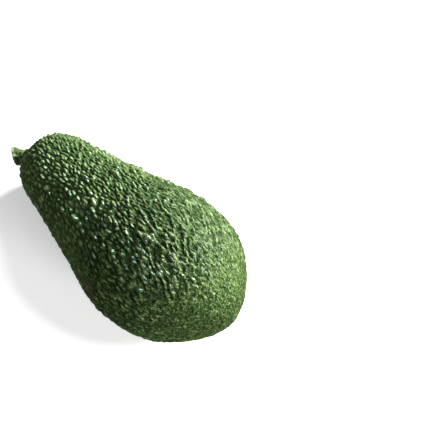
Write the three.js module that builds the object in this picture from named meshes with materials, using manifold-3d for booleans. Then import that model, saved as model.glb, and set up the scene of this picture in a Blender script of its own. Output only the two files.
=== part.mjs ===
// A long-necked green avocado, as picked, lying on its side with a short cut stalk.
// Millimetres, +Z up. The neck points along -X and droops, the blossom end points along +X.
// The origin is on the surface it lies on, under the middle of its bounding box.
import * as THREE from "three";
import { mergeVertices } from "three/addons/utils/BufferGeometryUtils.js";
import Module from "manifold-3d";

const wasm = await Module();
wasm.setup();

const { clamp, degToRad, smoothstep } = THREE.MathUtils;

// Fruit: its outline is sqrt(1 - x²) times a cubic in x, where x runs from -1 at the neck end to +1 at
// the blossom end
const LENGTH = 125.6; // neck end to blossom end, along the fruit's own axis
const MIDDLE_RADIUS = 30.2; // radius half way along
const BELLY_GAIN = 17.3; // how much the blossom half is fuller than the neck half
const END_FULLNESS = 3.2; // widens both ends alike
const NECK_FULLNESS = -19; // keeps the neck broad right up to its blunt end
const OVAL = 0.008; // the section is this share wider than it is high
const NECK_SHIFT = -0.9; // the neck sits this far to the -Y side
const BLOSSOM_SHIFT = 1.6; // and the blossom end this far to the +Y side
const SHIFT_STARTS = 0; // the sideways bend runs between these two places along x
const SHIFT_ENDS = 0.9;
// Broad unevenness of the fruit: height, waves around, waves along and phase in radians
const SWELLS = [
  { height: 0.27, around: 0, along: 11.6, phase: -1.76 },
  { height: 0.37, around: 2, along: 3.1, phase: 3.25 },
  { height: 0.15, around: 3, along: -4.3, phase: 3.2 },
  { height: 0.14, around: 5, along: 6, phase: 4 },
];

// How it lies
const DROOP = degToRad(13); // the neck end hangs this far below level
const SPOT_DEPTH = 0.6; // the belly is pressed flat by this much where it rests

// Stalk: a stub left by the cut, leaning out of the neck end towards -Y. Heights are above the skin.
const STALK_OFFSET = 5.4; // its foot is this far from the fruit's axis
const STALK_LEAN = degToRad(33); // between the stalk and the fruit's axis
const STALK_ROOT = 3; // depth of its foot in the fruit
const STALK_FOOT_RADIUS = 4.4;
const STALK_WAIST_RADIUS = 3.7;
const STALK_WAIST_HEIGHT = 3.4;
const STALK_LIP_RADIUS = 4.1;
const STALK_PROUD = 6.6; // height of the middle of the cut
const CUT_SLANT = degToRad(24); // the cut isn't square to the stalk
const SOCKET_GAP = 0.3; // all round the stalk's foot

// Fineness of the meshes
const ROUND_THE_FRUIT = 64;
const ALONG_THE_FRUIT = 46;
const ROUND_THE_STALK = 28;
const ALONG_THE_STALK = 14;

function solidOf(geometry) {
  const bare = geometry.clone();
  bare.deleteAttribute("normal");
  bare.deleteAttribute("uv");
  const merged = mergeVertices(bare, 1e-4);
  return new wasm.Manifold(
    new wasm.Mesh({
      numProp: 3,
      vertProperties: new Float32Array(merged.attributes.position.array),
      triVerts: new Uint32Array(merged.index.array),
    }),
  );
}

function geometryOf(solid) {
  const mesh = solid.getMesh();
  const geometry = new THREE.BufferGeometry();
  geometry.setAttribute("position", new THREE.BufferAttribute(new Float32Array(mesh.vertProperties), 3));
  geometry.setIndex(new THREE.BufferAttribute(new Uint32Array(mesh.triVerts), 1));
  geometry.computeVertexNormals();
  return geometry;
}

// The cubic that shapes the pear
function fullness(x) {
  return MIDDLE_RADIUS + BELLY_GAIN * x + END_FULLNESS * x ** 2 + NECK_FULLNESS * x ** 3;
}

function sidewaysShift(x) {
  return NECK_SHIFT + (BLOSSOM_SHIFT - NECK_SHIFT) * smoothstep(x, SHIFT_STARTS, SHIFT_ENDS);
}

// A point of the skin in the fruit's own frame: axis along X, angle from +Y towards +Z
function skinPoint(x, angle) {
  let girth = fullness(x) * (1 + OVAL * Math.cos(2 * angle));
  for (const swell of SWELLS) {
    girth += swell.height * Math.cos(swell.around * angle + swell.along * x + swell.phase);
  }
  const radius = Math.sqrt(1 - x * x) * girth;
  return new THREE.Vector3(
    (x * LENGTH) / 2,
    sidewaysShift(x) + radius * Math.cos(angle),
    radius * Math.sin(angle),
  );
}

// The whole skin, from a sphere whose poles become the neck end and the blossom end
function fruitShape() {
  const geometry = new THREE.SphereGeometry(1, ROUND_THE_FRUIT, ALONG_THE_FRUIT);
  geometry.rotateZ(Math.PI / 2);
  const places = geometry.attributes.position;
  for (let i = 0; i < places.count; i += 1) {
    const x = clamp(places.getX(i), -1, 1);
    const angle = Math.atan2(places.getZ(i), places.getY(i));
    places.setXYZ(i, ...skinPoint(x, angle).toArray());
  }
  geometry.rotateY(-DROOP);
  return geometry;
}

// Everything below the resting height, which is cut from the belly
function belowTheSpot(body) {
  const block = new THREE.BoxGeometry(LENGTH, LENGTH, LENGTH);
  block.translate(0, 0, body.boundingBox().min[2] + SPOT_DEPTH - LENGTH / 2);
  return block;
}

// Takes something built up the Z axis, with the skin at height 0, to the stalk's place on the neck.
// Its X axis turns to the side that the stalk leans to.
function placeOnNeck(geometry) {
  const foot = skinPoint(-Math.sqrt(1 - (STALK_OFFSET / fullness(-1)) ** 2), Math.PI);
  const up = new THREE.Vector3(-Math.cos(STALK_LEAN), -Math.sin(STALK_LEAN), 0);
  const side = new THREE.Vector3(Math.sin(STALK_LEAN), -Math.cos(STALK_LEAN), 0);
  const place = new THREE.Matrix4().makeBasis(side, new THREE.Vector3(0, 0, 1), up);
  place.setPosition(foot);
  place.premultiply(new THREE.Matrix4().makeRotationY(-DROOP));
  return geometry.applyMatrix4(place);
}

// The hollow in the neck that the stalk's foot stands in
function socketShape() {
  const radius = STALK_FOOT_RADIUS + SOCKET_GAP;
  const depth = STALK_ROOT + SOCKET_GAP;
  const hollow = new THREE.CylinderGeometry(radius, radius, 2 * depth, ROUND_THE_STALK);
  hollow.rotateX(Math.PI / 2);
  return placeOnNeck(hollow);
}

// The stalk's blank, turned from its foot to above the cut, narrow at the waist and wider at the lip
function stalkBlank(top) {
  const side = new THREE.SplineCurve([
    new THREE.Vector2(STALK_FOOT_RADIUS - SOCKET_GAP, -STALK_ROOT),
    new THREE.Vector2(STALK_FOOT_RADIUS, 0),
    new THREE.Vector2(STALK_WAIST_RADIUS, STALK_WAIST_HEIGHT),
    new THREE.Vector2(STALK_LIP_RADIUS, STALK_PROUD),
    new THREE.Vector2(STALK_LIP_RADIUS, top),
  ]);
  const foot = new THREE.Vector2(0, -STALK_ROOT);
  const outline = [foot, ...side.getPoints(ALONG_THE_STALK), new THREE.Vector2(0, top)];
  const blank = new THREE.LatheGeometry(outline, ROUND_THE_STALK);
  blank.rotateX(Math.PI / 2);
  return blank;
}

// What the slanting cut takes off the blank
function beyondTheCut(size) {
  const waste = new THREE.BoxGeometry(size, size, size);
  waste.translate(0, 0, size / 2);
  waste.rotateY(CUT_SLANT);
  waste.translate(0, 0, STALK_PROUD);
  return waste;
}

function fruitGeometry() {
  const whole = solidOf(fruitShape());
  const resting = whole.subtract(solidOf(belowTheSpot(whole)));
  return geometryOf(resting.subtract(solidOf(socketShape())));
}

function stalkGeometry() {
  const top = STALK_PROUD + STALK_LIP_RADIUS;
  const cut = solidOf(stalkBlank(top)).subtract(solidOf(beyondTheCut(2 * top)));
  return placeOnNeck(geometryOf(cut));
}

const fruit = new THREE.Mesh(
  fruitGeometry(),
  new THREE.MeshStandardMaterial({ color: 0x4b6a34, roughness: 0.45, metalness: 0 }),
);
fruit.name = "fruit";

const stalk = new THREE.Mesh(
  stalkGeometry(),
  new THREE.MeshStandardMaterial({ color: 0x54703a, roughness: 0.65, metalness: 0 }),
);
stalk.name = "stalk";

const avocado = new THREE.Group();
avocado.add(fruit, stalk);
const bounds = new THREE.Box3().setFromObject(avocado);
const middle = bounds.getCenter(new THREE.Vector3());
avocado.position.set(-middle.x, -middle.y, -bounds.min.z);

export default avocado;
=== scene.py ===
import math

import bpy
import numpy as np
from mathutils import Matrix, Vector, noise
from mathutils.kdtree import KDTree


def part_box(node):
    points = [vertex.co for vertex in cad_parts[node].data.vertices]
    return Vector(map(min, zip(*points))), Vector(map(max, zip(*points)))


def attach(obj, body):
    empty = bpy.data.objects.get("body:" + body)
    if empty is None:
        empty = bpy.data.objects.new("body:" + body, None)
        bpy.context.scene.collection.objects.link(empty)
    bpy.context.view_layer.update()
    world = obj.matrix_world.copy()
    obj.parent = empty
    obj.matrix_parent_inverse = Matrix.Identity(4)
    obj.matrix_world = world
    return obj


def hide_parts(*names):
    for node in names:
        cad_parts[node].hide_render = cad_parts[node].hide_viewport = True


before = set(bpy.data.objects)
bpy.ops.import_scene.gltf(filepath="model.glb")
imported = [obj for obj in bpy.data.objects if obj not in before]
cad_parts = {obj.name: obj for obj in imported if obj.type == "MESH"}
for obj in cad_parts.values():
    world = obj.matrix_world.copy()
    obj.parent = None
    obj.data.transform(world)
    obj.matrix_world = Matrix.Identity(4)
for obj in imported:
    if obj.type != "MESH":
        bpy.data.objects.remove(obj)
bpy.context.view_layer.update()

MM = 0.001

# Seeds of the random draws and of the noise vectors
SEED = 7
NOISE_SEED = 21

# The bare skin, the same as the CAD skin: its outline is sqrt(1 - x²) times a cubic in x, where x runs
# from -1 at the neck end to +1 at the blossom end
LENGTH = 125.6
MIDDLE_RADIUS = 30.2
BELLY_GAIN = 17.3
END_FULLNESS = 3.2
NECK_FULLNESS = -19.0
OVAL = 0.008
NECK_SHIFT = -0.9
BLOSSOM_SHIFT = 1.6
SHIFT_ENDS = 0.9
# Height, waves around, waves along, phase
SWELLS = (
    (0.27, 0, 11.6, -1.76),
    (0.37, 2, 3.1, 3.25),
    (0.15, 3, -4.3, 3.2),
    (0.14, 5, 6.0, 4.0),
)
DROOP = math.radians(13)
SAMPLES_ALONG = 400  # for measuring where the drooped skin lies
SAMPLES_AROUND = 720

# Places along the fruit, as x, for every list of seven below
PLACES = (-1.0, -0.6, -0.2, 0.2, 0.5, 0.75, 1.0)

# The net of points over the skin
SPACING = (0.32, 0.32, 0.32, 0.34, 0.40, 0.50, 0.56)
OUTLINE_SAMPLES = 4001
FEWEST_AROUND = 7
SEAM_ANGLE = -math.pi / 2  # the UV seam runs along the belly

# The UV map: a strip as wide as the fruit's girth, and two round caps that reach this far along the skin
WIDEST_RADIUS = 34.0
NECK_CAP = 32.0
BLOSSOM_CAP = 46.0
CAP_SLACK = 0.5
UV_EDGE = 0.01

# Mounds, the pebbles of the skin. A spread is how much chance changes one from the next.
HALF_WIDTH = (0.78, 0.84, 0.82, 0.80, 0.76, 0.70, 0.64)
STRETCH = (1.3, 1.7, 1.95, 2.3, 2.2, 1.7, 1.3)
HEIGHT = (0.86, 1.06, 1.03, 0.92, 0.66, 0.45, 0.28)
TWIST = (12.0, 15.0, 18.0, 18.0, 16.0, 12.0, 0.0)  # degrees between the mounds and the fruit's length
GRAIN_X = 0.955  # where the mounds' directions meet
WARP_SIZE = 2.6
WARP = 0.42
GAP = 1.62  # a mound keeps others this many of its own half widths away
POWER = 9.0  # how sharply neighbouring mounds meet
PROFILE = 1.05
WIDTH_SPREAD = 0.2
LENGTH_SPREAD = 0.16
HEIGHT_SPREAD = 0.15
LEAN_SPREAD = 0.18
CHAINED_NARROWING = 0.24  # of the mounds on the chained side
CHAINED_STRETCHING = 0.5
BARE_TONE = 0.5

# Ropes, the raised lines that wind along the fruit
ROPE_HEIGHT = (0.25, 0.32, 0.40, 0.64, 0.86, 0.74, 0.25)
ROPE_SIZE = 3.0
ROPE_STRETCH = 2.6
ROPE_WIDTH = 0.30
ROPE_OFFSETS = (40.0, 60.0)
ROPE_FINER = 0.3
TURN = 0.0095  # about the fruit's axis, in radians a millimetre

# Waves, the low swells under the mounds
WAVE_HEIGHT = (0.10, 0.14, 0.18, 0.24, 0.28, 0.24, 0.18)
WAVE_SIZE = 3.0
WAVE_STRETCH = 1.9
WAVE_OFFSETS = (20.0, 30.0)
WAVE_FINER = 0.5

FINER = 2.1  # how much finer the second layer of a noise is

# Sides of the fruit: the middle in degrees from +Y towards +Z, the cosines of the angle from it where
# the side starts and is whole, and its share at both ends of the fruit
CHAINED_SIDE = (30.0, -0.2, 1.0, 0.45)
ROUGH_SIDE = (45.0, -0.65, 0.6, 0.7)
FINE_SIDE = (15.0, 0.2, 0.95, 0.2)
# Painted light: the upper +Y flank of the belly is given a paler colour
PAINTED_LIGHT_SIDE = (72.0, 0.6, 1.0, 0.0)
# Painted shade: the lower +Y side, where the key lamp falls strongest, is given a darker colour
PAINTED_SHADE_SIDE = (-40.0, 0.25, 0.95, 0.2)
SIDE_FADE = (0.15, 0.7)  # at the ends, over these values of sqrt(1 - x²)
# The fine side and the side with painted light start at the first x and are whole at the second
FINE_SIDE_ALONG = (-0.35, 0.5)
PAINTED_LIGHT_SIDE_ALONG = (-0.1, 0.6)

# How strong the relief is off the rough side, and how much less on the fine side
SMOOTH_STRENGTH = 0.40
FINE_CALMING = 0.38
# Shares of their heights that mounds and ropes have on average
MEAN_MOUND = 0.45
MEAN_ROPE = 0.45

# Level of the skin for its colour: 0 in a pit, 1 on a crest. The colour's dark pits are partly painted shade
# and its pale crests partly painted highlight
LEVEL_OF_ROPE = 0.9
LEVEL_MEAN_ROPE = 0.4
LEVEL_OF_WAVE = 0.2
EVEN_SHARE = 0.4
EVEN_ALONG = (0.5, 0.95)
EVEN_LEVEL = 0.66
# Painted shade: off the rough side, away from the key lamp, the colour level is lowered so the skin is darker
SMOOTH_SIDE_PAINTED_SHADE = 0.66  # off the rough side
# Painted light: how much paler the fine side, which faces the key lamp, is made
FINE_SIDE_PAINTED_LIGHT = 0.03
# Painted light: how much paler the upper +Y flank of the belly is made
PAINTED_LIGHT_LEVEL = 0.22

# Wax, the coat on the crests
WAX = (0.55, 0.55, 0.50, 0.42, 0.34, 0.30, 0.26)
WAX_LEVELS = (0.5, 1.0)
FINE_WAX_LOSS = 0.85

# The scar at the blossom end
SCAR_X = 0.975
SCAR_WRINKLES = 9
SCAR_SWAY = 1.5
WRINKLE_HEIGHT = 0.16
WRINKLES_END = 4.2
WRINKLES_START = 1.1
DIMPLE_DEPTH = 0.55
DIMPLE_RADIUS = 2.0
CALM_SHARE = 0.7
CALM_RADIUS = 3.0
SCAR_SHARE = 0.85
SCAR_EDGE = (0.5, 1.25)
SCAR_RAGGED = 0.5
SCAR_NOISE = (0.7, 80.0)  # size and offset

# The stalk. Heights are above the skin, along the stalk's own axis.
STALK_OFFSET = 5.4
STALK_LEAN = math.radians(33)
STALK_ROOT = 3.0
STALK_PROUD = 6.6
STALK_RADIUS = 3.78
FLARE = 0.75
FLARE_HEIGHT = 1.1
LIP = 0.55
LIP_HEIGHTS = (3.6, 6.4)
CUT_RADIUS = 3.9
CUT_SLANT = math.radians(24)
RIM_ROUNDING = 0.32
RIM_STARTS = 0.955
CUT_DISH = 0.45
CUT_DISH_WIDTH = 0.35
CUT_MIDDLE = 0.12
CUT_MIDDLE_STARTS = 0.75
# Height, count round the stalk, twist in radians a millimetre
RIBS = ((0.09, 9, 0.5), (0.05, 17, -0.4))
CREASE_DEPTH = 0.07
CREASE_RATE = 3.4
CREASE_SWAY = 0.8
WOBBLE = 0.3
WOBBLE_NOISE = (1.9, 4.0)  # size and offset
BARK = 0.26
BARK_NOISE = (0.85, 9.0)  # size and offset
BARK_STRETCH = 0.6
NARROWEST = 0.5
STALK_AROUND = 112
STALK_ROWS = 56
CUT_ROWS = 18

# The socket under the stalk, and the calm collar of skin round it
SOCKET_RADIUS = 4.65
SOCKET_DEPTH = 3.3
SOCKET_EDGE = 0.1
COLLAR_WIDTH = 2.2
COLLAR_LIFT = 0.25
NECK_REACH = 12.0  # nothing this far below the stalk's foot belongs to the socket

# Skin colours. A material's noise is given as scale, detail and roughness.
# Pit and crest colours are partly the skin's own tone, partly painted shade in the pits and painted highlight
# on the crests
PIT_TONE_AND_SHADE = (0.034, 0.060, 0.020)
MID = (0.072, 0.124, 0.032)
CREST_TONE_AND_HIGHLIGHT = (0.155, 0.215, 0.090)
PIT_TO_MID = (0.16, 0.55)
MID_TO_CREST = (0.5, 1.05)
# Noise, the values of it between which a patch appears, colour
PATCHES = (
    ((0.045, 3.0, 0.5), (0.45, 0.68), (0.130, 0.200, 0.045)),
    ((0.16, 3.0, 0.6), (0.48, 0.7), (0.050, 0.120, 0.040)),
)
PATCH_SHARE = 0.18
TONE_VALUES = (0.85, 1.15)
MOTTLE_NOISE = (0.9, 4.0, 0.6)
MOTTLE_RANGE = (0.25, 0.75)
MOTTLE_VALUES = (0.8, 1.22)
# Painted shade: value of the colour on the lower +Y side
PAINTED_SHADE_VALUE = 0.52
LENTICEL = (0.20, 0.24, 0.12)
LENTICEL_SCALE = 0.55
LENTICEL_EDGE = (0.13, 0.07)
LENTICEL_LIFT = (-0.1, 0.2)
LENTICEL_SHARE = 0.5
SCUFF = (0.10, 0.075, 0.038)
SCUFF_NOISE = (0.11, 5.0, 0.65)
SCUFF_EDGE = (0.66, 0.72)
SCUFF_LIFT = (0.0, 0.3)
SCUFF_SHARE = 0.7
SCAR_BROWN = (0.075, 0.060, 0.028)
SMUDGE = (0.105, 0.092, 0.060)
SMUDGE_PLACE = (10.0, -31.5, 41.0)
SMUDGE_EDGE = (4.8, 2.0)
SMUDGE_NOISE = (0.6, 4.0, 0.65)
SMUDGE_RANGE = (0.2, 0.8)
SMUDGE_RAGGED = 3.2
SMUDGE_SHARE = 0.75

# Skin gloss
ROUGHNESS_RANGE = (0.3, 0.7)  # of the mottle
ROUGHNESS = (0.38, 0.48)
PIT_LIFT = (0.1, -0.3)
PIT_ROUGHNESS = 0.2
SCUFF_ROUGHNESS = 0.25
SKIN_IOR = 1.45
SKIN_SPECULAR = 0.04
COAT_ROUGHNESS = 0.22

# Relief finer than the mesh. Between the two places of each HALVES, from 0 at the neck end to 1 at the
# blossom end, a value for the neck half gives way to one for the blossom half.
HALVES = (0.35, 0.7)
BEAD_HALVES = (0.35, 0.75)
GRAIN_HALVES = (0.45, 0.75)
DRIFT_SCALE = 0.55
DRIFT_DETAIL = 2.0
DRIFT = 1.6
NOISE_MIDDLE = (0.5, 0.5, 0.5)
FLOW = (0.6, 1.0, 1.0)
BEAD_SCALE = 0.95
BEAD_TOPS = (0.75, 0.0)
BEAD_HEIGHTS = (0.12, 0.5)
GRIT_SCALE = 1.7
GRIT_TOPS = (0.7, 0.05)
GRIT_HEIGHT = 0.16
GRAIN_NOISE = (1.1, 2.0, 0.6)
GRAIN_HEIGHTS = (0.3, 0.5)
PORE_NOISE = (3.2, 3.0, 0.6)
PORE_HEIGHT = 0.07
CALM = (0.45, 1.0)
# Painted shade of the finer relief: colour darker in its hollows and lighter on its tops
PAINTED_SHADE_OF_BEADS = 0.5
PAINTED_SHADE_OF_GRAINS = 0.6
PAINTED_SHADE_OF_GRIT = 0.5
PAINTED_SHADE_OF_PORES = 0.3
MEAN_PAINTED_SHADE = 0.95
PAINTED_SHADE_GAIN = (0.7, 1.55)
DARKEST_PAINTED_SHADE = 0.3

# Stalk colours
BARK_DARK = (0.026, 0.050, 0.012)
BARK_LIGHT = (0.120, 0.185, 0.062)
BARK_DOT = (0.19, 0.22, 0.11)
# Pale rim colour: partly wear, partly a painted highlight
BARK_WORN_AND_LIT = (0.26, 0.31, 0.17)
WOOD_LIGHT = (0.150, 0.160, 0.075)
WOOD_DARK = (0.070, 0.085, 0.035)
WOOD_RIM = (0.075, 0.115, 0.038)
WOOD_MIDDLE = (0.085, 0.070, 0.032)
BLOTCH_NOISE = (0.75, 4.0, 0.6)
BLOTCH_EDGE = (0.38, 0.66)
BARK_DOT_SCALE = 0.8
BARK_DOT_EDGE = (0.24, 0.12)
BARK_DOT_SHARE = 0.8
WORN_EDGE = (0.80, 0.95)
WORN_RANGE = (0.3, 0.7)  # of the blotches
WORN_RAGGED = 0.09
WORN_SHARE = 0.75
FIBRE_NOISE = (2.2, 4.0, 0.6)
FIBRE_RANGE = (0.3, 0.7)
FIBRE_HEIGHT = 0.55
WOOD_RIM_EDGE = (0.28, 0.12)
WOOD_MIDDLE_EDGE = (0.72, 0.86)
WOOD_STARTS = (0.0, 0.06)
STALK_ROUGHNESS = (0.68, 0.85)
STALK_SPECULAR = 0.04

# Studio, in metres
FLOOR_RADIUS = 3.0
FLOOR_LEVEL = -0.05 * MM
NEAR_GLOW = 0.42  # of the floor beside the fruit, which takes its shadow
FAR_GLOW = 1.0
NEAR_TO_FAR = (0.12, 0.6)
BOUNCE_GLOW = 0.18
WORLD_GLOW = 0.16
WHITE = (1.0, 1.0, 1.0, 1.0)
PALE = (0.82, 0.82, 0.82, 1.0)
PALE_ROUGHNESS = 0.9
PALE_SPECULAR = 0.1
FLOOR_AROUND = 96
DOME_ROWS = 24
# Name, direction from the fruit, distance, diameter, power in watts, whether glossy skin shows it
LIGHTS = (
    ("key", (0.02, 0.949, 0.303), 1.2, 0.2, 67.0, True),
    ("top", (0.50, 0.38, 0.78), 1.2, 0.2, 9.0, False),
    ("fill", (0.97, 0.0, 0.22), 1.2, 0.5, 19.0, False),
    ("end", (-0.777, -0.594, 0.205), 1.2, 0.4, 2.5, False),
)
# A bluish light that only glints on the wax. Its direction is towards the camera, its right and its top.
GLINT_DIRECTION = (0.64, 0.48, 0.60)
GLINT_DISTANCE = 0.9
GLINT_DIAMETER = 0.45
GLINT_POWER = 60.0
GLINT_COLOUR = (0.46, 1.0, 0.90)

# Camera, in millimetres and degrees. Azimuth 0 looks along +Y.
CAMERA_AZIMUTH = 45.1
CAMERA_ELEVATION = 78.0
LENS = 100.0
SENSOR = 36.0
PIXELS = 430  # the picture's width
PIXELS_PER_MM = 2.243  # at the fruit's middle
AIM_RIGHT = 38.48  # of the fruit's middle
AIM_UP = 7.22
CLIP_START = 0.01


def smooth(value, low, high):
    share = np.clip((value - low) / (high - low), 0.0, 1.0)
    return share * share * (3.0 - 2.0 * share)


def bell(distance, reach):
    return np.exp(-((distance / reach) ** 2))


def fullness(x):
    """The cubic that shapes the pear."""
    return MIDDLE_RADIUS + BELLY_GAIN * x + END_FULLNESS * x**2 + NECK_FULLNESS * x**3


def sideways_shift(x):
    return NECK_SHIFT + (BLOSSOM_SHIFT - NECK_SHIFT) * smooth(x, 0.0, SHIFT_ENDS)


def skin_points(x, angle):
    """Points of the bare skin in the fruit's own frame: axis along X, angle from +Y towards +Z."""
    girth = fullness(x) * (1.0 + OVAL * np.cos(2.0 * angle))
    for height, around, along, phase in SWELLS:
        girth = girth + height * np.cos(around * angle + along * x + phase)
    radius = np.sqrt(np.maximum(0.0, 1.0 - x * x)) * girth
    y = sideways_shift(x) + radius * np.cos(angle)
    return np.stack([x * LENGTH / 2, y, radius * np.sin(angle)], axis=-1)


def drooped(points):
    """Turns directions or points from the fruit's own frame to the way it lies."""
    x, y, z = np.moveaxis(np.asarray(points, float), -1, 0)
    cosine = math.cos(DROOP)
    sine = math.sin(DROOP)
    return np.stack([x * cosine - z * sine, y, x * sine + z * cosine], axis=-1)


def lying_shift():
    """From the drooped frame to the place of the CAD fruit."""
    along = np.cos(np.linspace(0, math.pi, SAMPLES_ALONG))
    around = np.linspace(0, 2 * math.pi, SAMPLES_AROUND)
    shape = drooped(skin_points(*np.meshgrid(along, around))).reshape(-1, 3)
    low, high = (np.array(corner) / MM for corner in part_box("fruit"))
    sideways = (low[1] + high[1] - shape[:, 1].min() - shape[:, 1].max()) / 2
    return np.array([high[0] - shape[:, 0].max(), sideways, high[2] - shape[:, 2].max()])


def ring_places():
    """x, radius and distance along the skin of evenly spaced rings from the neck end to the blossom end."""
    x = -np.cos(np.linspace(0.0, math.pi, OUTLINE_SAMPLES))
    radius = np.sqrt(np.maximum(0.0, 1.0 - x * x)) * fullness(x)
    steps = np.hypot(np.diff(x) * LENGTH / 2, np.diff(radius))
    run = np.concatenate([[0.0], np.cumsum(steps)])
    spacing = np.interp(x, PLACES, SPACING)
    passed = np.concatenate([[0.0], np.cumsum(np.diff(run) / ((spacing[1:] + spacing[:-1]) / 2))])
    wanted = np.interp(np.linspace(0.0, passed[-1], round(passed[-1]) + 1), passed, run)
    return np.interp(wanted, run, x), np.interp(wanted, run, radius), wanted


def band(first_a, count_a, first_b, count_b):
    """Triangles between two rings, as (vertex, share of a turn) for each corner."""
    faces = []
    a = 0
    b = 0
    while a < count_a or b < count_b:
        here_a = (first_a + a % count_a, a / count_a)
        here_b = (first_b + b % count_b, b / count_b)
        if b >= count_b or (a < count_a and (a + 0.5) / count_a <= (b + 0.5) / count_b):
            a += 1
            ahead = (first_a + a % count_a, a / count_a)
        else:
            b += 1
            ahead = (first_b + b % count_b, b / count_b)
        faces.append((here_a, ahead, here_b))
    return faces


def fan(tip, first, count):
    """Triangles from the neck end's point to the ring beside it, as in a band; reversed for the other end."""
    faces = []
    for i in range(count):
        here = (first + i, i / count)
        ahead = (first + (i + 1) % count, (i + 1) / count)
        faces.append(((tip, (i + 0.5) / count), ahead, here))
    return faces


def skin_grid():
    """The bare skin as an even net: points, x and angle of each, triangles, and a UV for each corner."""
    xs, radii, runs = ring_places()
    girths = 2 * math.pi * radii / np.interp(xs, PLACES, SPACING)
    counts = [1, *(max(FEWEST_AROUND, round(girth)) for girth in girths[1:-1]), 1]
    firsts = np.concatenate([[0], np.cumsum(counts)[:-1]])
    x = np.repeat(xs, counts)
    ring = np.repeat(np.arange(len(xs)), counts)
    share = (np.arange(len(x)) - firsts[ring]) / np.array(counts)[ring]
    angle = SEAM_ANGLE + 2 * math.pi * share
    last = len(xs) - 2
    corners = []
    charts = []
    for k in range(last + 1):
        if k == 0:
            faces = fan(0, firsts[1], counts[1])
        elif k == last:
            faces = [face[::-1] for face in fan(firsts[-1], firsts[k], counts[k])]
        else:
            faces = band(firsts[k], counts[k], firsts[k + 1], counts[k + 1])
        corners.extend(faces)
        charts.extend([k] * len(faces))
    corners = np.array(corners)
    triangles = corners[:, :, 0].astype(int)
    uv = unrolled(corners[:, :, 1], runs[ring[triangles]], runs[np.array(charts)], runs[-1])
    return skin_points(x, angle), x, angle, triangles, uv


def unrolled(turn, run, chart_run, whole):
    """UVs: a strip for the body and a round cap for each end, all at about one scale."""
    scale = (1.0 - 2 * UV_EDGE) / (2 * math.pi * WIDEST_RADIUS)
    across = UV_EDGE + turn * (1 - 2 * UV_EDGE)
    strip = np.stack([across, UV_EDGE + (run - NECK_CAP) * scale], axis=-1)
    top = 2 * UV_EDGE + (whole - NECK_CAP - BLOSSOM_CAP) * scale
    spin = 2 * math.pi * turn
    wheel = np.stack([np.cos(spin), np.sin(spin)], axis=-1)
    neck_middle = np.array([UV_EDGE + NECK_CAP * scale, top + BLOSSOM_CAP * scale])
    blossom_middle = np.array([2 * UV_EDGE + (2 * NECK_CAP + BLOSSOM_CAP) * scale, neck_middle[1]])
    neck = neck_middle + wheel * run[..., None] * scale
    blossom = blossom_middle + wheel * (whole - run)[..., None] * scale
    chart = chart_run[:, None, None]
    body = np.where(chart > whole - BLOSSOM_CAP, blossom, strip)
    return np.where(chart < NECK_CAP - CAP_SLACK, neck, body)


def vertex_normals(points, triangles):
    a, b, c = (points[triangles[:, i]] for i in range(3))
    across = np.cross(b - a, c - a)
    normals = np.zeros_like(points)
    for i in range(3):
        np.add.at(normals, triangles[:, i], across)
    return normals / np.linalg.norm(normals, axis=1, keepdims=True)


def side_share(x, angle, side):
    """0 to 1 round the fruit, most at one angle, settling to one value towards both ends."""
    middle, starts, whole, at_ends = side
    share = smooth(np.cos(angle - math.radians(middle)), starts, whole)
    return at_ends + (share - at_ends) * smooth(np.sqrt(np.maximum(0.0, 1.0 - x * x)), *SIDE_FADE)


def noise_vectors(points, size):
    return np.array([noise.noise_vector(Vector(point / size)) for point in points])


def noise_values(points, size, offset):
    away = Vector((offset, 0, 0))
    return np.array([noise.noise(Vector(point / size) + away) for point in points])


def layered_noise(points, size, offsets, finer_share):
    coarse = noise_values(points, size, offsets[0])
    return coarse + finer_share * noise_values(points, size / FINER, offsets[1])


def grain(points, normals, x):
    """Directions along the skin towards the blossom end, and across it, both turned by the twist."""
    to_apex = skin_points(np.array(GRAIN_X), np.array(0.0)) - points
    along = to_apex - normals * np.sum(to_apex * normals, axis=1, keepdims=True)
    along /= np.maximum(1e-6, np.linalg.norm(along, axis=1, keepdims=True))
    across = np.cross(normals, along)
    twist = np.radians(np.interp(x, PLACES, TWIST))[:, None]
    turned_along = along * np.cos(twist) - across * np.sin(twist)
    return turned_along, across * np.cos(twist) + along * np.sin(twist)


def tree_of(points):
    tree = KDTree(len(points))
    for i, point in enumerate(points):
        tree.insert(point, i)
    tree.balance()
    return tree


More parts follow.
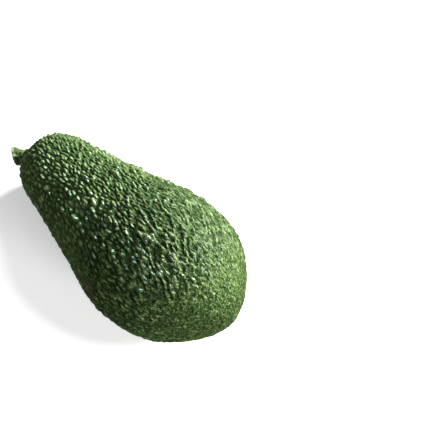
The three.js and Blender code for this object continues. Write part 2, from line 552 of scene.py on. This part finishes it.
def pebbles(points, normals, x, angle):
    """Packed mounds: their joined height, the usual height there, and a tone that each mound keeps."""
    random = np.random.default_rng(SEED)
    along, across = grain(points, normals, x)
    warped = points + WARP * noise_vectors(points, WARP_SIZE)
    tree = tree_of(warped)
    chained = side_share(x, angle, CHAINED_SIDE)
    width = np.interp(x, PLACES, HALF_WIDTH) * (1.0 - CHAINED_NARROWING * chained)
    stretch = np.interp(x, PLACES, STRETCH) * (1.0 + CHAINED_STRETCHING * chained)
    height = np.interp(x, PLACES, HEIGHT)
    free = np.ones(len(points), bool)
    total = np.zeros(len(points))
    best = np.zeros(len(points))
    tone = np.full(len(points), BARE_TONE)
    for i in random.permutation(len(points)):
        if not free[i]:
            continue
        size = width[i] * math.exp(random.normal(0.0, WIDTH_SPREAD))
        length = size * stretch[i] * math.exp(random.normal(0.0, LENGTH_SPREAD))
        tall = height[i] * math.exp(random.normal(0.0, HEIGHT_SPREAD)) * (size / width[i])
        lean = random.normal(0.0, LEAN_SPREAD)
        shade = random.random()
        axis = along[i] * math.cos(lean) + across[i] * math.sin(lean)
        side = across[i] * math.cos(lean) - along[i] * math.sin(lean)
        found = np.array([k for _, k, _ in tree.find_range(warped[i], length * GAP)])
        apart = warped[found] - warped[i]
        square = (apart @ axis / length) ** 2 + (apart @ side / size) ** 2
        free[found[square < GAP**2]] = False
        inside = square < 1.0
        mound = tall * (1.0 - square[inside]) ** PROFILE
        near = found[inside]
        total[near] += mound**POWER
        higher = mound > best[near]
        best[near[higher]] = mound[higher]
        tone[near[higher]] = shade
    return total ** (1.0 / POWER), height, tone


def unwound(points, stretch):
    """Points turned back about the fruit's axis, so that what winds along it runs straight, and shortened."""
    x, y, z = points.T
    turn = -TURN * x
    cosine = np.cos(turn)
    sine = np.sin(turn)
    return np.stack([x / stretch, y * cosine - z * sine, y * sine + z * cosine], axis=1)


def ropes(points):
    """Raised lines that wind along the fruit and branch: 1 on a crest, 0 between them."""
    level = layered_noise(unwound(points, ROPE_STRETCH), ROPE_SIZE, ROPE_OFFSETS, ROPE_FINER)
    return 1.0 - smooth(np.abs(level), 0.0, ROPE_WIDTH)


def skin_relief(points, normals, x, angle):
    """Lift of the skin in mm, its level for the colour, each mound's tone, and the wax."""
    mounds, height, tone = pebbles(points, normals, x, angle)
    rope = ropes(points)
    rope_height = np.interp(x, PLACES, ROPE_HEIGHT)
    waves = layered_noise(unwound(points, WAVE_STRETCH), WAVE_SIZE, WAVE_OFFSETS, WAVE_FINER)
    rough = side_share(x, angle, ROUGH_SIDE)
    fine = side_share(x, angle, FINE_SIDE) * smooth(x, *FINE_SIDE_ALONG)
    painted_light = side_share(x, angle, PAINTED_LIGHT_SIDE) * smooth(x, *PAINTED_LIGHT_SIDE_ALONG)
    strength = (SMOOTH_STRENGTH + (1.0 - SMOOTH_STRENGTH) * rough) * (1.0 - FINE_CALMING * fine)
    lift = (mounds - MEAN_MOUND * height + rope_height * (rope - MEAN_ROPE)) * strength
    lift = lift + np.interp(x, PLACES, WAVE_HEIGHT) * waves
    # Colour level: the dark pits are partly painted shade, the pale crests partly painted highlight
    level = mounds / height + LEVEL_OF_ROPE * rope_height * (rope - LEVEL_MEAN_ROPE) + LEVEL_OF_WAVE * waves
    even = EVEN_SHARE * smooth(x, *EVEN_ALONG)
    # Painted shade: a lower colour level, so darker skin, off the rough side
    level = (level * (1.0 - even) + EVEN_LEVEL * even) * (SMOOTH_SIDE_PAINTED_SHADE + (1.0 - SMOOTH_SIDE_PAINTED_SHADE) * rough)
    wax = np.interp(x, PLACES, WAX) * smooth(level, *WAX_LEVELS) * (1.0 - FINE_WAX_LOSS * fine)
    # Painted light: the fine side and the upper +Y flank of the belly are made paler
    level = level + FINE_SIDE_PAINTED_LIGHT * fine + PAINTED_LIGHT_LEVEL * painted_light
    return lift, level, tone, wax


def with_scar(points, lift):
    """Adds the small dimple at the blossom end and the wrinkles into it, and tells how brown the skin is."""
    apart = points - skin_points(np.array(SCAR_X), np.array(0.0))
    away = np.linalg.norm(apart, axis=1)
    turn = np.arctan2(apart[:, 2], apart[:, 1])
    wrinkles = np.cos(SCAR_WRINKLES * turn + SCAR_SWAY * np.sin(2 * turn)) * bell(away, WRINKLES_END)
    wrinkles *= 1.0 - bell(away, WRINKLES_START)
    calm = 1.0 - CALM_SHARE * bell(away, CALM_RADIUS)
    ragged = away + SCAR_RAGGED * noise_values(points, *SCAR_NOISE)
    scar = SCAR_SHARE * (1.0 - smooth(ragged, *SCAR_EDGE))
    lift = lift * calm + WRINKLE_HEIGHT * wrinkles - DIMPLE_DEPTH * bell(away, DIMPLE_RADIUS)
    return lift, scar


def round_the_stalk(points, normals, lift):
    """The lifted skin, calm in a collar round the stalk and sunk into the socket under it, and its lift."""
    up, _, foot = stalk_frame()
    from_foot = points - foot
    rise = from_foot @ up
    away = np.linalg.norm(from_foot - rise[:, None] * up, axis=1)
    at_neck = rise > -NECK_REACH
    collar = 1.0 - smooth(away, SOCKET_RADIUS, SOCKET_RADIUS + COLLAR_WIDTH)
    by_stalk = np.where(at_neck, collar, 0.0)
    lift = lift * (1.0 - by_stalk) + COLLAR_LIFT * by_stalk
    shaped = points + normals * lift[:, None]
    sunk = at_neck & (away < SOCKET_RADIUS - SOCKET_EDGE)
    shaped[sunk] -= (shaped[sunk] - foot) @ up[:, None] * up
    shaped[sunk] -= SOCKET_DEPTH * up
    return shaped, lift


def make_fruit():
    points, x, angle, triangles, uv = skin_grid()
    normals = vertex_normals(points, triangles)
    lift, level, tone, wax = skin_relief(points, normals, x, angle)
    lift, scar = with_scar(points, lift)
    shaped, lift = round_the_stalk(points, normals, lift)
    placed = drooped(shaped) + lying_shift()
    placed[:, 2] = np.maximum(placed[:, 2], 0.0)
    obj = new_mesh("fruit_skin", placed, triangles, uv)
    add_attribute(obj, "relief", lift)
    add_attribute(obj, "level", level)
    add_attribute(obj, "along", (x + 1.0) / 2.0)
    add_attribute(obj, "tone", tone)
    add_attribute(obj, "scar", scar)
    # painted shade of the lower +Y side
    add_attribute(obj, "painted_side_shade", side_share(x, angle, PAINTED_SHADE_SIDE))
    add_attribute(obj, "wax", wax)
    return obj


def stalk_frame():
    """The stalk's direction, the side its cut leans to, and its foot, in the fruit's own frame."""
    x = -math.sqrt(1.0 - (STALK_OFFSET / fullness(-1.0)) ** 2)
    foot = skin_points(np.array(x), np.array(math.pi))
    up = np.array([-math.cos(STALK_LEAN), -math.sin(STALK_LEAN), 0.0])
    side = np.array([math.sin(STALK_LEAN), -math.cos(STALK_LEAN), 0.0])
    return up, side, foot


def stalk_ring(angle, tops, share):
    """A ring of the stalk's side, from its root to the slanting rim."""
    height = -STALK_ROOT + share * (tops + STALK_ROOT)
    flare = FLARE * np.exp(-np.maximum(height, 0.0) / FLARE_HEIGHT)
    radius = STALK_RADIUS + flare + LIP * smooth(height, *LIP_HEIGHTS)
    for rib_height, count, twist in RIBS:
        radius = radius + rib_height * np.cos(count * angle + twist * height)
    radius = radius + CREASE_DEPTH * np.cos(height * CREASE_RATE + CREASE_SWAY * np.sin(angle * 2))
    radius = radius - RIM_ROUNDING * smooth(share, RIM_STARTS, 1.0) ** 2
    return np.stack([radius * np.cos(angle), radius * np.sin(angle), height], axis=-1)


def cut_ring(rim, share):
    """A ring of the dished cut, from the rim in to its middle."""
    middle = np.array([0.0, 0.0, STALK_PROUD])
    dish = CUT_DISH * smooth(share, 0.0, CUT_DISH_WIDTH) - CUT_MIDDLE * smooth(share, CUT_MIDDLE_STARTS, 1.0)
    return rim * (1 - share) + middle * share - np.array([0.0, 0.0, 1.0]) * dish


def roughened(points):
    """The stalk's points moved in and out from its axis."""
    wobble = noise_values(points, *WOBBLE_NOISE)
    fine = noise_values(points * np.array([1.0, 1.0, BARK_STRETCH]), *BARK_NOISE)
    outward = points * np.array([1.0, 1.0, 0.0])
    outward /= np.maximum(NARROWEST, np.linalg.norm(outward, axis=1, keepdims=True))
    return points + outward * (WOBBLE * wobble + BARK * fine)[:, None]


def tube_faces(rings, around):
    """Faces between equal rings, and fans to the two points that follow them, one for each end."""
    faces = []
    for k in range(rings - 1):
        for i in range(around):
            j = (i + 1) % around
            faces.append((k * around + i, k * around + j, (k + 1) * around + j, (k + 1) * around + i))
    bottom = rings * around
    top = bottom + 1
    last = (rings - 1) * around
    for i in range(around):
        j = (i + 1) % around
        faces.append((bottom, j, i))
        faces.append((top, last + i, last + j))
    return faces


def with_ends(ring_values):
    """A value for each of the stalk's points: those of the rings, and 0 and 1 for the two end points."""
    return np.concatenate([np.clip(ring_values, 0, 1), [0.0, 1.0]])


def make_stalk():
    up, side, foot = stalk_frame()
    angle = np.linspace(0, 2 * math.pi, STALK_AROUND, endpoint=False)
    tops = STALK_PROUD - CUT_RADIUS * np.cos(angle) * math.tan(CUT_SLANT)
    rings = [stalk_ring(angle, tops, k / STALK_ROWS) for k in range(STALK_ROWS + 1)]
    rings += [cut_ring(rings[-1], k / CUT_ROWS) for k in range(1, CUT_ROWS)]
    ends = np.array([[0.0, 0.0, -STALK_ROOT], [0.0, 0.0, STALK_PROUD - CUT_DISH + CUT_MIDDLE]])
    points = roughened(np.concatenate([*rings, ends]))
    level = points[:, 1:2] * np.array([0.0, 0.0, 1.0])
    placed = foot + points[:, :1] * side + level + points[:, 2:] * up
    faces = tube_faces(len(rings), STALK_AROUND)
    obj = new_mesh("stalk_stub", drooped(placed) + lying_shift(), faces, None)
    ring = np.repeat(np.arange(len(rings)), STALK_AROUND)
    add_attribute(obj, "cut", with_ends((ring - STALK_ROWS) / CUT_ROWS))
    add_attribute(obj, "rim", with_ends(ring / STALK_ROWS))
    return obj


def new_mesh(name, points_mm, faces, uv):
    mesh = bpy.data.meshes.new(name)
    mesh.from_pydata((np.asarray(points_mm) * MM).tolist(), [], [tuple(map(int, face)) for face in faces])
    if uv is not None:
        layer = mesh.uv_layers.new(name="OFBake")
        layer.data.foreach_set("uv", uv.reshape(-1).astype(np.float32))
    mesh.polygons.foreach_set("use_smooth", [True] * len(mesh.polygons))
    mesh.update()
    obj = bpy.data.objects.new(name, mesh)
    bpy.context.scene.collection.objects.link(obj)
    return obj


def add_attribute(obj, name, values):
    made = obj.data.attributes.new(name, "FLOAT", "POINT")
    made.data.foreach_set("value", np.asarray(values, np.float32))


def set_input(tree, socket, value):
    """Links a socket, or sets it to a number, a vector or a colour."""
    if isinstance(value, bpy.types.NodeSocket):
        tree.links.new(value, socket)
    elif isinstance(value, tuple) and socket.type == "RGBA":
        socket.default_value = (*value[:3], 1.0)
    else:
        socket.default_value = value


def add(tree, kind, inputs=None, **settings):
    made = tree.nodes.new(kind)
    for name, value in settings.items():
        setattr(made, name, value)
    for name, value in (inputs or {}).items():
        set_input(tree, made.inputs[name], value)
    return made


def mix(tree, share, a, b):
    made = tree.nodes.new("ShaderNodeMix")
    made.data_type = "RGBA"
    for socket, value in ((made.inputs[0], share), (made.inputs[6], a), (made.inputs[7], b)):
        set_input(tree, socket, value)
    return made.outputs[2]


def math_node(tree, operation, *values):
    made = add(tree, "ShaderNodeMath", dict(enumerate(values)), operation=operation)
    return made.outputs[0]


def plus(tree, a, b):
    return math_node(tree, "ADD", a, b)


def times(tree, a, b):
    return math_node(tree, "MULTIPLY", a, b)


def vector_math(tree, operation, *values):
    return add(tree, "ShaderNodeVectorMath", dict(enumerate(values)), operation=operation)


def map_range(tree, value, low, high, to_low=0.0, to_high=1.0, kind="SMOOTHSTEP"):
    made = add(
        tree,
        "ShaderNodeMapRange",
        {"Value": value, "From Min": low, "From Max": high, "To Min": to_low, "To Max": to_high},
        interpolation_type=kind,
    )
    return made.outputs["Result"]


def attribute(tree, name):
    return add(tree, "ShaderNodeAttribute", attribute_name=name).outputs["Fac"]


def noise_node(tree, coords, scale, detail, roughness):
    inputs = {"Vector": coords, "Scale": scale, "Detail": detail, "Roughness": roughness}
    return add(tree, "ShaderNodeTexNoise", inputs).outputs["Fac"]


def cell_distance(tree, coords, scale):
    """Distance to the middle of the nearest of many random cells."""
    return add(tree, "ShaderNodeTexVoronoi", {"Vector": coords, "Scale": scale}).outputs["Distance"]


def add_bump(tree, shader, height, distance_mm):
    inputs = {"Height": height, "Strength": 1.0, "Distance": distance_mm * MM}
    tree.links.new(add(tree, "ShaderNodeBump", inputs).outputs[0], shader.inputs["Normal"])


def new_material(name):
    """A material, its node tree and shader, and the place on the object in mm."""
    material = bpy.data.materials.new(name)
    material.use_nodes = True
    tree = material.node_tree
    place = add(tree, "ShaderNodeTexCoord").outputs["Object"]
    in_mm = vector_math(tree, "SCALE", place)
    in_mm.inputs["Scale"].default_value = 1.0 / MM
    return material, tree, tree.nodes["Principled BSDF"], in_mm.outputs[0]


def drifted(tree, place):
    """Places moved a little here and there, so that patterns on them aren't even."""
    inputs = {"Vector": place, "Scale": DRIFT_SCALE, "Detail": DRIFT_DETAIL}
    drift = add(tree, "ShaderNodeTexNoise", inputs)
    centred = vector_math(tree, "SUBTRACT", drift.outputs["Color"], NOISE_MIDDLE)
    scaled = vector_math(tree, "MULTIPLY", centred.outputs[0], (DRIFT, DRIFT, DRIFT))
    return vector_math(tree, "ADD", place, scaled.outputs[0]).outputs[0]


def fine_relief(tree, place, along):
    """Height in mm of the beads, grit, grains and pores that are finer than the mesh, and a painted shade
    that darkens their hollows and lightens their tops.
    """
    turned = add(tree, "ShaderNodeMapping", {"Vector": place, "Rotation": (0.0, DROOP, 0.0)}).outputs[0]
    moved = drifted(tree, turned)
    flow = vector_math(tree, "MULTIPLY", moved, FLOW).outputs[0]
    beads = map_range(tree, cell_distance(tree, flow, BEAD_SCALE), *BEAD_TOPS)
    grit = map_range(tree, cell_distance(tree, moved, GRIT_SCALE), *GRIT_TOPS)
    grains = noise_node(tree, flow, *GRAIN_NOISE)
    pores = noise_node(tree, place, *PORE_NOISE)
    height = times(tree, grains, map_range(tree, along, *GRAIN_HALVES, *GRAIN_HEIGHTS))
    height = plus(tree, height, times(tree, beads, map_range(tree, along, *BEAD_HALVES, *BEAD_HEIGHTS)))
    height = plus(tree, height, times(tree, grit, GRIT_HEIGHT))
    height = plus(tree, height, times(tree, pores, PORE_HEIGHT))
    height = times(tree, height, map_range(tree, along, *HALVES, *CALM))
    # Painted shade: the colour follows the fine relief, darker where it dips, lighter where it rises
    shade = times(tree, grains, PAINTED_SHADE_OF_GRAINS)
    shade = math_node(tree, "MULTIPLY_ADD", beads, PAINTED_SHADE_OF_BEADS, shade)
    shade = math_node(tree, "MULTIPLY_ADD", grit, PAINTED_SHADE_OF_GRIT, shade)
    shade = math_node(tree, "MULTIPLY_ADD", pores, PAINTED_SHADE_OF_PORES, shade)
    shade = math_node(tree, "SUBTRACT", shade, MEAN_PAINTED_SHADE)
    shade = math_node(tree, "MULTIPLY_ADD", shade, map_range(tree, along, *HALVES, *PAINTED_SHADE_GAIN), 1.0)
    return height, math_node(tree, "MAXIMUM", shade, DARKEST_PAINTED_SHADE)


def smudge_mask(tree, place):
    """A rubbed patch low on the shaded side."""
    offset = vector_math(tree, "SUBTRACT", place, SMUDGE_PLACE).outputs[0]
    away = vector_math(tree, "LENGTH", offset).outputs["Value"]
    ragged = noise_node(tree, place, *SMUDGE_NOISE)
    ragged = map_range(tree, ragged, *SMUDGE_RANGE, -SMUDGE_RAGGED, SMUDGE_RAGGED, "LINEAR")
    away = plus(tree, away, ragged)
    return map_range(tree, away, *SMUDGE_EDGE, 0.0, SMUDGE_SHARE)


def skin_body(tree, place, mottle):
    """Green from dark pits to pale crests, partly painted shade and painted highlight, in patches, with a
    value of its own for each mound.
    """
    level = attribute(tree, "level")
    low = mix(tree, map_range(tree, level, *PIT_TO_MID), PIT_TONE_AND_SHADE, MID)
    body = mix(tree, map_range(tree, level, *MID_TO_CREST), low, CREST_TONE_AND_HIGHLIGHT)
    for patch_noise, edge, colour in PATCHES:
        patch = map_range(tree, noise_node(tree, place, *patch_noise), *edge, 0.0, PATCH_SHARE)
        body = mix(tree, patch, body, colour)
    value = map_range(tree, attribute(tree, "tone"), 0.0, 1.0, *TONE_VALUES, "LINEAR")
    value = times(tree, value, map_range(tree, mottle, *MOTTLE_RANGE, *MOTTLE_VALUES, "LINEAR"))
    # Painted shade: darker colour on the lower +Y side, which the key lamp lights most
    painted_side_shade = map_range(tree, attribute(tree, "painted_side_shade"), 0.0, 1.0, 1.0, PAINTED_SHADE_VALUE, "LINEAR")
    return with_value(tree, body, times(tree, value, painted_side_shade))


def with_value(tree, colour, value):
    return add(tree, "ShaderNodeHueSaturation", {"Color": colour, "Value": value}).outputs[0]


def skin_material():
    material, tree, shader, place = new_material("avocado_skin")
    relief = attribute(tree, "relief")
    mottle = noise_node(tree, place, *MOTTLE_NOISE)
    scuff = map_range(tree, noise_node(tree, place, *SCUFF_NOISE), *SCUFF_EDGE)
    scuff = times(tree, scuff, map_range(tree, relief, *SCUFF_LIFT, 0.0, SCUFF_SHARE))
    dot = map_range(tree, cell_distance(tree, place, LENTICEL_SCALE), *LENTICEL_EDGE)
    dot = times(tree, dot, map_range(tree, relief, *LENTICEL_LIFT, 0.0, LENTICEL_SHARE))
    colour = mix(tree, dot, skin_body(tree, place, mottle), LENTICEL)
    colour = mix(tree, scuff, colour, SCUFF)
    colour = mix(tree, smudge_mask(tree, place), colour, SMUDGE)
    colour = mix(tree, attribute(tree, "scar"), colour, SCAR_BROWN)
    # shade is the fine relief's painted shade
    height, shade = fine_relief(tree, place, attribute(tree, "along"))
    tree.links.new(with_value(tree, colour, shade), shader.inputs["Base Color"])
    gloss = map_range(tree, mottle, *ROUGHNESS_RANGE, *ROUGHNESS, "LINEAR")
    gloss = plus(tree, gloss, map_range(tree, relief, *PIT_LIFT, 0.0, PIT_ROUGHNESS))
    gloss = plus(tree, gloss, times(tree, scuff, SCUFF_ROUGHNESS))
    tree.links.new(gloss, shader.inputs["Roughness"])
    add_bump(tree, shader, height, 1.0)
    shader.inputs["IOR"].default_value = SKIN_IOR
    shader.inputs["Specular IOR Level"].default_value = SKIN_SPECULAR
    tree.links.new(attribute(tree, "wax"), shader.inputs["Coat Weight"])
    shader.inputs["Coat Roughness"].default_value = COAT_ROUGHNESS
    shader.inputs["Coat IOR"].default_value = SKIN_IOR
    return material


def bark_colour(tree, place):
    """Blotched and dotted green, pale towards the rim: partly wear, partly a painted highlight of the lit
    rim.
    """
    blotch = noise_node(tree, place, *BLOTCH_NOISE)
    bark = mix(tree, map_range(tree, blotch, *BLOTCH_EDGE), BARK_DARK, BARK_LIGHT)
    dot = map_range(tree, cell_distance(tree, place, BARK_DOT_SCALE), *BARK_DOT_EDGE, 0.0, BARK_DOT_SHARE)
    bark = mix(tree, dot, bark, BARK_DOT)
    # The pale rim is partly wear, partly a painted highlight
    ragged = map_range(tree, blotch, *WORN_RANGE, -WORN_RAGGED, WORN_RAGGED, "LINEAR")
    worn = plus(tree, attribute(tree, "rim"), ragged)
    return mix(tree, map_range(tree, worn, *WORN_EDGE, 0.0, WORN_SHARE), bark, BARK_WORN_AND_LIT)


def wood_colour(tree, cut, fibre):
    """The cut: pale wood inside a green rim, with a darker middle."""
    wood = mix(tree, map_range(tree, fibre, *FIBRE_RANGE), WOOD_LIGHT, WOOD_DARK)
    wood = mix(tree, map_range(tree, cut, *WOOD_RIM_EDGE), wood, WOOD_RIM)
    return mix(tree, map_range(tree, cut, *WOOD_MIDDLE_EDGE), wood, WOOD_MIDDLE)


def stalk_material():
    material, tree, shader, place = new_material("avocado_stalk")
    cut = attribute(tree, "cut")
    fibre = noise_node(tree, place, *FIBRE_NOISE)
    bark = bark_colour(tree, place)
    colour = mix(tree, map_range(tree, cut, *WOOD_STARTS), bark, wood_colour(tree, cut, fibre))
    tree.links.new(colour, shader.inputs["Base Color"])
    roughness = map_range(tree, fibre, *FIBRE_RANGE, *STALK_ROUGHNESS)
    tree.links.new(roughness, shader.inputs["Roughness"])
    shader.inputs["Specular IOR Level"].default_value = STALK_SPECULAR
    add_bump(tree, shader, fibre, FIBRE_HEIGHT)
    return material


def disc_points(radius, level):
    turns = np.linspace(0.0, 2 * math.pi, FLOOR_AROUND, endpoint=False)
    return [(radius * math.cos(turn), radius * math.sin(turn), level) for turn in turns]


def staged(name, points, faces, material):
    mesh = bpy.data.meshes.new(name)
    mesh.from_pydata(points, [], faces)
    mesh.materials.append(material)
    obj = bpy.data.objects.new(name, mesh)
    bpy.context.scene.collection.objects.link(obj)
    obj.visible_glossy = False
    obj.visible_shadow = False
    return obj


def pale_material(name, glow):
    material = bpy.data.materials.new(name)
    material.use_nodes = True
    material.cycles.emission_sampling = "NONE"
    shader = material.node_tree.nodes["Principled BSDF"]
    shader.inputs["Base Color"].default_value = PALE
    shader.inputs["Roughness"].default_value = PALE_ROUGHNESS
    shader.inputs["Specular IOR Level"].default_value = PALE_SPECULAR
    shader.inputs["Emission Color"].default_value = WHITE
    shader.inputs["Emission Strength"].default_value = glow
    return material


def make_floor():
    """The floor that is seen, brighter further out, and one below it that only throws light up."""
    seen = pale_material("pale_floor", FAR_GLOW)
    tree = seen.node_tree
    place = add(tree, "ShaderNodeTexCoord").outputs["Object"]
    away = vector_math(tree, "LENGTH", place).outputs["Value"]
    glow = map_range(tree, away, *NEAR_TO_FAR, NEAR_GLOW, FAR_GLOW)
    tree.links.new(glow, tree.nodes["Principled BSDF"].inputs["Emission Strength"])
    face = [tuple(range(FLOOR_AROUND))]
    floor = staged("floor", disc_points(FLOOR_RADIUS, FLOOR_LEVEL), face, seen)
    floor.visible_diffuse = False
    unseen = pale_material("pale_bounce", BOUNCE_GLOW)
    bounce = staged("floor_bounce", disc_points(FLOOR_RADIUS, 2 * FLOOR_LEVEL), face, unseen)
    bounce.visible_camera = False


def make_backdrop():
    """A pale dome over everything, seen only directly."""
    points = []
    for k in range(DOME_ROWS):
        rise = 0.5 * math.pi * k / DOME_ROWS
        points += disc_points(FLOOR_RADIUS * math.cos(rise), FLOOR_RADIUS * math.sin(rise))
    points.append((0.0, 0.0, FLOOR_RADIUS))
    faces = []
    for k in range(DOME_ROWS):
        low = k * FLOOR_AROUND
        high = low + FLOOR_AROUND
        for i in range(FLOOR_AROUND):
            j = (i + 1) % FLOOR_AROUND
            if k < DOME_ROWS - 1:
                faces.append((low + j, low + i, high + i, high + j))
            else:
                faces.append((low + j, low + i, high))
    dome = staged("backdrop", points, faces, pale_material("pale_backdrop", FAR_GLOW))
    dome.visible_diffuse = False


def fruit_centre():
    low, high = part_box("fruit")
    return (low + high) / 2


def area_light(name, direction, distance, diameter, power):
    """A round lamp that shines on the fruit's middle and isn't seen itself."""
    centre = fruit_centre()
    data = bpy.data.lights.new(name, "AREA")
    data.shape = "DISK"
    data.size = diameter
    data.energy = power
    obj = bpy.data.objects.new(name, data)
    place = centre + Vector(direction).normalized() * distance
    obj.location = place
    obj.rotation_mode = "QUATERNION"
    obj.rotation_quaternion = (centre - place).to_track_quat("-Z", "Y")
    obj.visible_camera = False
    bpy.context.scene.collection.objects.link(obj)
    return obj


def view_axes():
    """The camera's right and up, and the way back to it from the fruit."""
    a = math.radians(CAMERA_AZIMUTH)
    e = math.radians(CAMERA_ELEVATION)
    right = Vector((math.cos(a), math.sin(a), 0.0))
    up = Vector((-math.sin(a) * math.sin(e), math.cos(a) * math.sin(e), math.cos(e)))
    back = Vector((math.sin(a) * math.cos(e), -math.cos(a) * math.cos(e), math.sin(e)))
    return right, up, back


def make_camera():
    """The camera aims past the fruit's middle, which puts the fruit left of the picture's middle."""
    centre = fruit_centre()
    right, up, back = view_axes()
    distance = PIXELS / PIXELS_PER_MM * LENS / SENSOR * MM
    place = centre + back * distance
    aim = centre + (right * AIM_RIGHT + up * AIM_UP) * MM
    data = bpy.data.cameras.new("camera")
    data.lens = LENS
    data.sensor_width = SENSOR
    data.clip_start = CLIP_START
    obj = bpy.data.objects.new("camera", data)
    facing = (place - aim).normalized()
    across = up.cross(facing).normalized()
    turn = Matrix((across, facing.cross(across), facing)).transposed()
    obj.matrix_world = Matrix.Translation(place) @ turn.to_4x4()
    bpy.context.scene.collection.objects.link(obj)
    bpy.context.scene.camera = obj


def make_lights():
    for name, direction, distance, diameter, power, glossy in LIGHTS:
        light = area_light(name, direction, distance, diameter, power)
        light.visible_glossy = glossy
    right, up, back = view_axes()
    to_camera, to_right, to_top = GLINT_DIRECTION
    direction = back * to_camera + right * to_right + up * to_top
    glint = area_light("glint", direction, GLINT_DISTANCE, GLINT_DIAMETER, GLINT_POWER)
    glint.data.color = GLINT_COLOUR
    glint.visible_diffuse = False


def make_world():
    world = bpy.data.worlds.new("studio")
    bpy.context.scene.world = world
    world.use_nodes = True
    background = world.node_tree.nodes["Background"]
    background.inputs["Color"].default_value = WHITE
    background.inputs["Strength"].default_value = WORLD_GLOW
    world.cycles_visibility.glossy = False
    bpy.context.scene.view_settings.view_transform = "Standard"


noise.seed_set(NOISE_SEED)

fruit = make_fruit()
fruit.data.materials.append(skin_material())
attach(fruit, "root")
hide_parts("fruit")

stalk = make_stalk()
stalk.data.materials.append(stalk_material())
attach(stalk, "root")
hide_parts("stalk")

make_floor()
make_backdrop()
make_camera()
make_lights()
make_world()
